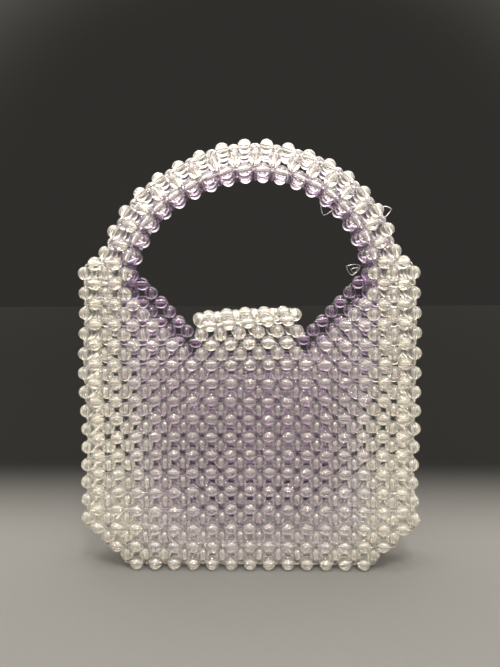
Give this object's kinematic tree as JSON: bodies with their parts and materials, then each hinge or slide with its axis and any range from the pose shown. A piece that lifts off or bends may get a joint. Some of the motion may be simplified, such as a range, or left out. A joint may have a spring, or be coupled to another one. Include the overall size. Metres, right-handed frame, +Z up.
{
  "type": "handbag",
  "caption": "Handbag woven from round clear beads, with a stepped V neck, a narrow gusset, an arched woven handle and a short flap over the mouth.",
  "frame": {"origin": "middle of the base, on the surface the bag stands on", "axes": "+Z up, -Y out of the front panel, +X to the right as seen from the front"},
  "size_m": [0.2618, 0.0386, 0.3283],
  "materials": {
    "clear_beads": "clear polished acrylic",
    "lilac_beads": "clear polished acrylic with a pale lilac tint"
  },
  "bodies": {
    "root": {"front_panel": "lilac_beads", "back_panel": "lilac_beads", "left_side": "clear_beads", "right_side": "clear_beads", "base": "clear_beads", "left_throat": "lilac_beads", "right_throat": "lilac_beads", "handle": "clear_beads", "flap": "clear_beads"}
  },
  "joints": []
}
